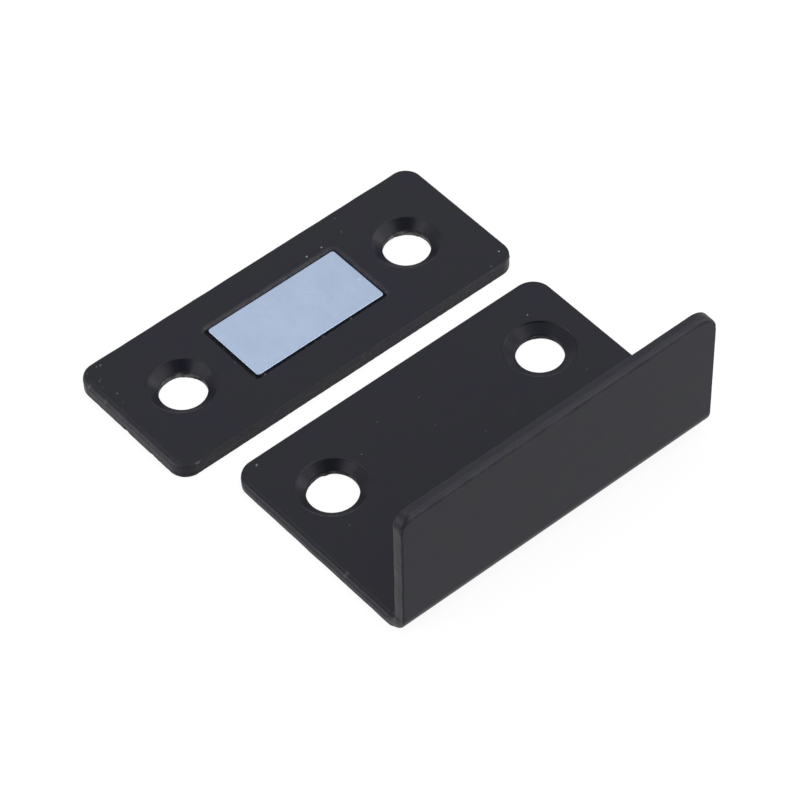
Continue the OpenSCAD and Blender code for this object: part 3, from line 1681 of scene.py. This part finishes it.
        steps = 6
        rows = []
        for share in stops(0.0, 1.0, 1 / steps):
            off = abs(2 * share - 1)
            rows.append(row(share, self.glue_top - self.glue_climb * (1 - off**2), True))
        rows += [row(share, self.glue_low, False) for share in (1.0, 0.0)]
        draft.strips([*rows[::-1], rows[-1]], Zone.FACE)
        return draft

    def dress(self) -> list[bpy.types.Object]:
        """Makes the three pieces with their finishes.

        Returns:
            The plate, the magnet and the glue line.
        """
        finishes = coat_finishes("carrier")
        plate = self.plate().finished("carrier_plate_coated", finishes)
        magnet = self.magnet().finished("magnet_plated", [Plating("magnet_plating").material()])
        glue = self.glue().finished("glue_line", [Resin("cured_glue").material()])
        stand_in(plate, "carrier_plate")
        stand_in(magnet, "magnet")
        stand_in(glue, "adhesive_ring")
        return [plate, magnet, glue]


@dataclass
class StrikeHalf:
    """The folded sheet that is screwed to the door and meets the magnet.

    It is drawn flat, with the base where it lies and the flange unfolded towards -Y.

    Attributes:
        length: The sheet's length along X.
        depth: Width of the base along Y, from the corner line of the bend.
        height: Height of the flange's edge over that line, measured along the flange.
        sheet: The sheet's thickness.
        bend_inner_r: Radius of the inside of the bend.
        bend_angle: Angle between base and flange, in degrees.
        base_corner_r: Radius of the base's two corners.
        flange_left_r: Radius of the flange's left corner.
        flange_right_r: Radius of its right corner.
        base_front: Soft edges round the base's upper face.
        base_back: Soft edges round its lower face.
        flange_front: Soft edges round the flange's face towards the base.
        flange_back: Soft edges round its face towards the magnet.
        hole_gap: Distance between the two holes.
        hole_line: Their distance from the corner line.
        left_bore_r: Radius of the left hole's bore.
        left_mouth_r: Radius of its countersink at the face.
        right_bore_r: Radius of the right hole's bore.
        right_mouth_r: Radius of its countersink at the face.
        land: Height of the bores.
        middle_x: Value of x at the sheet's middle.
        corner_y: Value of y at the corner line of the bend.
        outline_step: Spacing of the points round the sheet.
        bend_margin: How far the rows of points across the bend reach past it.
    """

    length: float = 36.2
    depth: float = 24.0
    height: float = 16.2
    sheet: float = 1.2
    bend_inner_r: float = 1.2
    bend_angle: float = 92.5
    base_corner_r: float = 2.0
    flange_left_r: float = 1.3
    flange_right_r: float = 2.3
    base_front: Rolls = Rolls(Roll(0.07), Roll(0.12), Roll(0.55), Roll(0.12))
    base_back: Rolls = Rolls(Roll(0.1), Roll(0.1), Roll(0.1), Roll(0.1))
    flange_front: Rolls = Rolls(Roll(0.12), Roll(0.12), Roll(0.12), Roll(0.05))
    flange_back: Rolls = Rolls(Roll(0.1), Roll(0.12), Roll(0.18), Roll(0.55))
    hole_gap: float = 24.7
    hole_line: float = 16.7
    left_bore_r: float = 2.44
    left_mouth_r: float = 3.42
    right_bore_r: float = 2.29
    right_mouth_r: float = 3.38
    land: float = 0.46
    middle_x: float = 1.6
    corner_y: float = -34.8
    outline_step: float = 0.24
    bend_margin: float = 0.1

    def ends(self) -> Flat:
        """Values of x at the sheet's left and right end."""
        return self.middle_x - self.length / 2, self.middle_x + self.length / 2

    def turn(self) -> float:
        """Angle through which the sheet is bent, in radians."""
        return math.radians(180 - self.bend_angle)

    def outer_r(self) -> float:
        """Radius of the outside of the bend."""
        return self.bend_inner_r + self.sheet

    def middle_r(self) -> float:
        """Radius of the bend in the middle of the sheet."""
        return self.bend_inner_r + self.sheet / 2

    def bend_start(self) -> float:
        """Value of y at which the flat base ends."""
        return self.corner_y + self.outer_r() * math.tan(self.turn() / 2)

    def bend_end(self) -> float:
        """Value of y in the blank at which the flat flange starts."""
        return self.bend_start() - self.middle_r() * self.turn()

    def flange_y(self, height: float) -> float:
        """Value of y in the blank for a height on the flange over its corner line."""
        return self.bend_end() - (height - self.outer_r() * math.tan(self.turn() / 2))

    def fold(self, place: Point) -> Point:
        """Takes a point of the blank to its place on the folded sheet.

        Args:
            place: The point of the blank.

        Returns:
            Its place.
        """
        x, y, z = place
        run = self.bend_start() - y
        if run <= 0:
            return place
        angle = min(run / self.middle_r(), self.turn())
        beyond = max(0.0, run - self.middle_r() * self.turn())
        reach = self.outer_r() - z
        folded_y = self.bend_start() - reach * math.sin(angle) - beyond * math.cos(angle)
        folded_z = self.outer_r() - reach * math.cos(angle) + beyond * math.sin(angle)
        return (x, folded_y, folded_z)

    def side_reliefs(self) -> list[Relief]:
        """What the punch, the bend and later knocks left on the sheet's side, with painted
        highlights.

        Returns:
            The reliefs.
        """
        left, right = self.ends()
        bend = (self.bend_start() + self.bend_end()) / 2
        tip, high, low = (self.flange_y(height) for height in (15.85, 15.3, 14.85))
        knock_low, knock_high = self.flange_y(14.0), self.flange_y(14.1)
        return [
            Shear(tear_line=0.5, wander=0.12, hollows=0.018, drag=0.006, seed=21.0),
            # Painted highlight bands: on the flange's top edge, and along the sheet's left end
            PaintedSheen((0.0, -1.0), 0.05, 0.2, 0.07, 2.4, 64.0),
            PaintedSheen((-1.0, 0.0), 0.95, 0.16, 0.06, 0.6, 65.0),
            Wave((0.0, -1.0), 0.04, 1.6, 23.0),
            Wave((-1.0, 0.0), -0.06, 2.6, 24.0),
            Nick((left, -26.7, 0.9), (left, -26.7, 1.1), 0.12, 0.03, 0.15),
            Nick((left, bend - 0.8, 0.85), (left, bend + 0.8, 0.85), 0.35, -0.08),
            Nick((left, bend - 0.6, 0.0), (left, bend + 0.6, 0.0), 0.3, 0.1),
            Nick((right, bend - 0.8, 0.85), (right, bend + 0.8, 0.85), 0.35, -0.06),
            Nick((left, low, 0.0), (left, high, self.sheet), 0.07, 0.07),
            Nick((left, low, 0.0), (left + 0.5, tip, 0.0), 0.12, 0.1),
            Nick((right, knock_high, 0.4), (right - 0.1, knock_low, -0.1), 0.15, 0.08),
        ]

    def section(self, place: Flat, out: Flat) -> list[Flat]:
        """Section of the sheet's side, which changes over from base to flange.

        Args:
            place: A place on the blank's outline.
            out: Outward direction there.

        Returns:
            Inset and height of each row.
        """
        share = smooth((self.bend_start() - place[1]) / (self.bend_start() - self.bend_end()))
        front = self.base_front.facing(out).toward(self.flange_front.facing(out), share)
        back = self.base_back.facing(out).toward(self.flange_back.facing(out), share)
        return SoftEdge(self.sheet).rows(front, back)

    def holes(self) -> list[ScrewHole]:
        """The screw holes.

        Returns:
            The left and the right hole.
        """
        y = self.corner_y + self.hole_line
        left = ScrewHole(
            (self.middle_x - self.hole_gap / 2, y),
            self.left_bore_r, self.left_mouth_r, self.land, self.sheet,
            Rim.SOFT, 0.13, mouth_shift=(-0.02, -0.03), seed=29.0,
            burrs=(Burr(67, 7, 0.16), Burr(104, 22, 0.12)),
        )
        right = ScrewHole(
            (self.middle_x + self.hole_gap / 2, y),
            self.right_bore_r, self.right_mouth_r, self.land, self.sheet,
            Rim.CRISP, 0.18, mouth_shift=(0.015, 0.01), seed=31.0,
            burrs=(Burr(60, 25, 0.04),),
        )
        return [left, right]

    def blank(self) -> Draft:
        """Draws the sheet before it is folded.

        Returns:
            Its draft.
        """
        draft = Draft()
        left, right = self.ends()
        start, end = self.bend_start(), self.bend_end()
        levels = (end - self.bend_margin, end, start, start + self.bend_margin)
        outline = Outline.rounded(
            (left, self.flange_y(self.height)),
            (right, self.corner_y + self.depth),
            (self.base_corner_r, self.base_corner_r, self.flange_left_r, self.flange_right_r),
            self.outline_step, levels,
        )
        side = draft.side(outline, self.section, self.side_reliefs())
        rolled = SoftEdge.fall_rows + SoftEdge.round_rows // 2
        draft.strips(side[: rolled + 1], Zone.FACE)
        draft.strips(side[rolled : len(side) - rolled], Zone.SHEARED)
        draft.strips(side[len(side) - rolled - 1 :], Zone.FACE)

        tops, bottoms = zip(*(hole.carve(draft) for hole in self.holes()))
        across = sorted({y for _, y in outline.points if levels[0] <= y <= levels[-1]})
        band = (levels[0] - FACE_CLEAR, levels[-1] + FACE_CLEAR)
        for border, inner, z, up, marks in (
            (side[0], tops, self.sheet, True, self.base_marks()),
            (side[-1], bottoms, 0.0, False, self.contact_marks()),
        ):
            chains = [self.bend_line(draft, border, y, z) for y in across]
            draft.cap(border, inner, z, up, marks, chains, band)
        return draft

    def bend_line(self, draft: Draft, border: Ring, y: float, z: float) -> Ring:
        """Adds a row of points straight across the bend.

        Args:
            draft: The sheet.
            border: The closed row of points round the face.
            y: Value of y in the blank.
            z: Height of the face.

        Returns:
            The row, with its two ends on the border.
        """
        ends = sorted(
            (k for k in border if abs(draft.points[k][1] - y) < MERGE_LIMIT),
            key=lambda k: draft.points[k][0],
        )
        first, last = ends[0], ends[-1]
        between = stops(draft.points[first][0], draft.points[last][0], FACE_STEP)[1:-1]
        return [first, *[draft.add((x, y, z)) for x in between], last]

    def base_marks(self) -> tuple[Mark, ...]:
        """Marks on the base's front face.

        Returns:
            The marks.
        """
        return (
            Fleck(-14.25, -11.6, 0.12, 0.6, stretch=1.5, turn=40),
            Fleck(-6.4, -16.95, 0.08, 0.35),
            Fleck(-12.5, -22.6, 0.08, 0.3),
            Fleck(-2.9, -14.95, 0.07, 0.25),
            Fleck(1.85, -15.2, 0.1, 0.2),
            Fleck(0.8, -18.75, 0.07, 0.25),
            Fleck(3.75, -22.35, 0.07, 0.25),
            Fleck(15.85, -14.2, 0.085, 0.95),
            Fleck(17.3, -17.6, 0.09, 0.3),
            Fleck(15.5, -22.9, 0.07, 0.3),
            Scratch((6.2, -22.6), (8.1, -21.9), 0.1, 0.07, 0.045, 0.0),
        )

    def contact_marks(self) -> tuple[Mark, ...]:
        """Marks on the face that meets the magnet.

        Returns:
            The marks.
        """
        return (
            Fleck(9.85, self.flange_y(4.9), 0.12, 0.0, -0.03),
            Fleck(-3.2, self.flange_y(10.4), 0.08, 0.0, -0.02),
            Fleck(4.6, self.flange_y(7.2), 0.07, 0.2),
        )

    def dress(self) -> list[bpy.types.Object]:
        """Makes the sheet with its finishes.

        Returns:
            The sheet, in a list.
        """
        piece = self.blank().finished("strike_plate_coated", coat_finishes("strike"), self.fold)
        stand_in(piece, "strike_plate")
        return [piece]


def coat_finishes(name: str) -> list[bpy.types.Material]:
    """The coat on a plate's faces, on its sheared sides and in its countersinks.

    Args:
        name: Start of the materials' names.

    Returns:
        One material for each zone, in the zones' order.
    """
    return [
        Coat(f"{name}_coat").material(),
        Coat(
            f"{name}_coat_on_sheared_edge", (0.0172, 0.018, 0.0222), (0.0163, 0.0157, 0.025),
            streak=0.014, peel=0.005,
        ).material(),
        Coat(f"{name}_coat_in_countersink", smoothest=0.27, roughest=0.34).material(),
    ]


def stand_in(piece: bpy.types.Object, node: str) -> None:
    """Lets a dressed piece stand for its CAD node.

    Args:
        piece: The dressed piece.
        node: The CAD node.
    """
    low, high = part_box(node)
    places = np.array([v.co for v in piece.data.vertices])
    past = max((np.array(low) - places.min(0)).max(), (places.max(0) - np.array(high)).max())
    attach(piece, "root")
    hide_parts(node)
    faces = len(piece.data.polygons)
    LOG.info("%s: %d faces, %.4f mm past its node's box", piece.name, faces, past / MM)


@dataclass(frozen=True)
class SoftBox:
    """Large soft lamp.

    Attributes:
        name: Its name.
        place: Where it stands, in metres.
        size: Its width, in metres.
        watts: Its power.
    """

    name: str
    place: Point
    size: float
    watts: float

    def hang(self) -> None:
        """Adds the lamp, aimed at the origin."""
        lamp = bpy.data.lights.new(self.name, "AREA")
        lamp.shape = "SQUARE"
        lamp.size = self.size
        lamp.energy = self.watts
        holder = bpy.data.objects.new(self.name, lamp)
        holder.location = self.place
        holder.rotation_euler = Vector(self.place).to_track_quat("Z", "Y").to_euler()
        bpy.context.scene.collection.objects.link(holder)


@dataclass(frozen=True)
class Viewpoint:
    """The camera, set as the photograph was taken.

    Attributes:
        aim: Point of the floor at the picture's middle, in millimetres.
        distance: Distance to that point, in millimetres.
        heading: Direction in which it looks, in degrees from +Y towards +X.
        elevation: How steeply it looks down, in degrees.
        roll: Turn about its own axis, in degrees.
        lens: Focal length, in millimetres.
        sensor: Width of the sensor, in millimetres.
        clip: Nearest and farthest distance that it shows, in metres.
    """

    aim: Flat = (0.989, -13.455)
    distance: float = 382.2
    heading: float = 37.363
    elevation: float = 48.682
    roll: float = -3.574
    lens: float = 188.148
    sensor: float = 36.0
    clip: Flat = (0.01, 50.0)

    def back(self) -> Vector:
        """Direction from the aim to the camera.

        Returns:
            The direction, of length 1.
        """
        heading, elevation = math.radians(self.heading), math.radians(self.elevation)
        flat = math.cos(elevation)
        return Vector((-flat * math.sin(heading), -flat * math.cos(heading), math.sin(elevation)))

    def place(self) -> bpy.types.Object:
        """Adds the camera and makes it the scene's own.

        Returns:
            The camera.
        """
        heading, roll = math.radians(self.heading), math.radians(self.roll)
        level = Vector((math.cos(heading), -math.sin(heading), 0))
        back = self.back()
        upright = back.cross(level)
        right = math.cos(roll) * level + math.sin(roll) * upright
        up = math.cos(roll) * upright - math.sin(roll) * level
        data = bpy.data.cameras.new("camera")
        data.lens = self.lens
        data.sensor_width = self.sensor
        data.clip_start, data.clip_end = self.clip
        camera = bpy.data.objects.new("camera", data)
        turned = Matrix((right, up, back)).transposed().to_4x4()
        spot = Vector((*self.aim, 0)) * MM + back * self.distance * MM
        camera.matrix_world = Matrix.Translation(spot) @ turned
        bpy.context.scene.collection.objects.link(camera)
        bpy.context.scene.camera = camera
        return camera


@dataclass
class Studio:
    """White sweep, soft lamps and a dark card behind the camera.

    Attributes:
        floor_size: Width of the floor, in metres.
        floor_drop: How far it lies under the catch, in metres.
        card_distance: Distance of the dark card from the catch, in metres.
        card_size: Its width, in metres.
        card_lift: How far it stands above the line from the catch to the camera, in metres.
        floor_glow: How bright the floor is where it is seen, without its share of the light.
        mirrored_glow: The same where the floor is seen in gloss.
        paper_tone: How light the floor is as it lights the catch, from 0 to 1.
        shadow_tone: How light it is where it is seen, so that it keeps faint shadows.
        world_level: Strength of the room's own light.
        lamps: The lamps.
        covered: Lowest and highest corner of each patch of floor that a plate covers,
        in millimetres. A dim sheet on each, seen only in gloss, is painted shadow that gloss inside
        the holes shows.
        painted_shadow_tone: How light those painted shadow sheets are, from 0 to 1.
        card_tone: How light the dark card is, from 0 to 1.
    """

    floor_size: float = 6.0
    floor_drop: float = 0.00001
    card_distance: float = 0.75
    card_size: float = 0.62
    card_lift: float = 0.1
    floor_glow: float = 0.9
    mirrored_glow: float = 0.76
    paper_tone: float = 0.8
    shadow_tone: float = 0.14
    world_level: float = 0.22
    lamps: tuple[SoftBox, ...] = (
        SoftBox("lamp_left_low", (-0.71, 0.43, 0.17), 0.45, 2.3),
        SoftBox("lamp_left_high", (-0.66, 0.085, 0.53), 0.45, 1.65),
        SoftBox("lamp_right", (0.74, -0.3, 0.29), 0.45, 1.9),
        SoftBox("lamp_near", (0.36, -0.7, 0.32), 0.62, 2.66),
        SoftBox("lamp_far", (0.5, 0.63, 0.26), 0.45, 0.75),
        SoftBox("lamp_over", (0.38, -0.03, 0.865), 0.46, 2.3),
        SoftBox("lamp_between", (0.37, -0.45, 0.72), 0.34, 0.85),
        SoftBox("lamp_back", (-0.02, 0.36, 0.88), 0.36, 1.5),
    )
    covered: tuple[tuple[Flat, Flat], ...] = (
        ((-19.0, -7.0), (19.0, 7.0)),
        ((-15.5, -31.5), (18.7, -11.8)),
    )
    painted_shadow_tone: float = 0.17
    card_tone: float = 0.02

    def sheet(self, name: str, low: Flat, high: Flat, finish: bpy.types.Material) -> bpy.types.Object:
        """Adds a flat rectangle that isn't part of the catch.

        Args:
            name: Its name.
            low: Its lowest corner, in metres.
            high: Its highest corner, in metres.
            finish: Its material.

        Returns:
            The rectangle, at the origin.
        """
        (left, near), (right, far) = low, high
        corners = [(left, near, 0), (right, near, 0), (right, far, 0), (left, far, 0)]
        mesh = bpy.data.meshes.new(name)
        mesh.from_pydata(corners, [], [(0, 1, 2, 3)])
        mesh.materials.append(finish)
        made = bpy.data.objects.new(name, mesh)
        bpy.context.scene.collection.objects.link(made)
        return made

    def floor_finish(self) -> bpy.types.Material:
        """White paper that shows as white and keeps a faint shadow.

        Returns:
            The floor's material.
        """
        material = bpy.data.materials.new("white_sweep")
        tree = Tree(material)
        paper, faint = (tree.node("ShaderNodeBsdfDiffuse") for _ in range(2))
        for diffuse, tone in ((paper, self.paper_tone), (faint, self.shadow_tone)):
            diffuse.inputs["Color"].default_value = (tone, tone, tone, 1)
        camera_ray = tree.node("ShaderNodeLightPath").outputs["Is Camera Ray"]
        level = tree.node("ShaderNodeMapRange", camera_ray)
        level.inputs["To Min"].default_value = self.mirrored_glow
        level.inputs["To Max"].default_value = self.floor_glow
        glow = tree.node("ShaderNodeEmission")
        tree.link(level.outputs[0], glow.inputs["Strength"])
        shown = tree.node("ShaderNodeAddShader", faint.outputs[0], glow.outputs[0])
        both = (paper.outputs[0], shown.outputs[0])
        mixed = tree.node("ShaderNodeMixShader", tree.seen(), *both)
        tree.node("ShaderNodeOutputMaterial", mixed.outputs[0])
        return material

    @staticmethod
    def matt_finish(name: str, tone: float) -> bpy.types.Material:
        """Matt grey finish.

        Args:
            name: The material's name.
            tone: How much light it throws back, from 0 to 1.

        Returns:
            The material.
        """
        material = bpy.data.materials.new(name)
        material.use_nodes = True
        shader = material.node_tree.nodes["Principled BSDF"]
        shader.inputs["Base Color"].default_value = (tone, tone, tone, 1)
        shader.inputs["Roughness"].default_value = 1.0
        return material

    def light_world(self) -> None:
        """Lights the room: grey as a source of light, and white wherever it is seen."""
        world = bpy.data.worlds.new("studio")
        tree = Tree(world)
        level, white = (tree.node("ShaderNodeBackground") for _ in range(2))
        level.inputs["Strength"].default_value = self.world_level
        for background in (level, white):
            background.inputs["Color"].default_value = (1, 1, 1, 1)
        both = (level.outputs[0], white.outputs[0])
        mixed = tree.node("ShaderNodeMixShader", tree.seen(), *both)
        tree.node("ShaderNodeOutputWorld", mixed.outputs[0])
        bpy.context.scene.world = world

    def build(self, view: Viewpoint) -> None:
        """Sets up the studio round the catch.

        Args:
            view: The camera's place, which the dark card stands behind.
        """
        half = self.floor_size / 2
        floor = self.sheet("floor", (-half, -half), (half, half), self.floor_finish())
        floor.location.z = -self.floor_drop
        # Dim sheets under the plates, seen only in gloss: painted shadow
        shaded = self.matt_finish("shaded_paper", self.painted_shadow_tone)
        for k, (low, high) in enumerate(self.covered):
            low, high = (tuple(value * MM for value in corner) for corner in (low, high))
            patch = self.sheet(f"painted_shadow_sheet_{k}", low, high, shaded)
            patch.location.z = -self.floor_drop / 2
            for rays in ("camera", "diffuse", "transmission", "shadow"):
                setattr(patch, f"visible_{rays}", False)
        half = self.card_size / 2
        dark = self.matt_finish("dark_card", self.card_tone)
        card = self.sheet("dark_card", (-half, -half), (half, half), dark)
        card.location = view.back() * self.card_distance + Vector((0, 0, self.card_lift))
        card.rotation_euler = view.back().to_track_quat("Z", "Y").to_euler()
        card.visible_camera = False
        self.light_world()
        for lamp in self.lamps:
            lamp.hang()
        bpy.context.scene.view_settings.view_transform = "Standard"
        view.place()


def main() -> None:
    """Builds the catch, dresses it and sets up the studio."""
    logging.basicConfig(level=logging.INFO, format="%(name)s: %(message)s")
    for half in (CarrierHalf(), StrikeHalf()):
        for piece in half.dress():
            LOG.info("%s is in place", piece.name)
    Studio().build(Viewpoint())


if __name__ == "__main__":
    main()
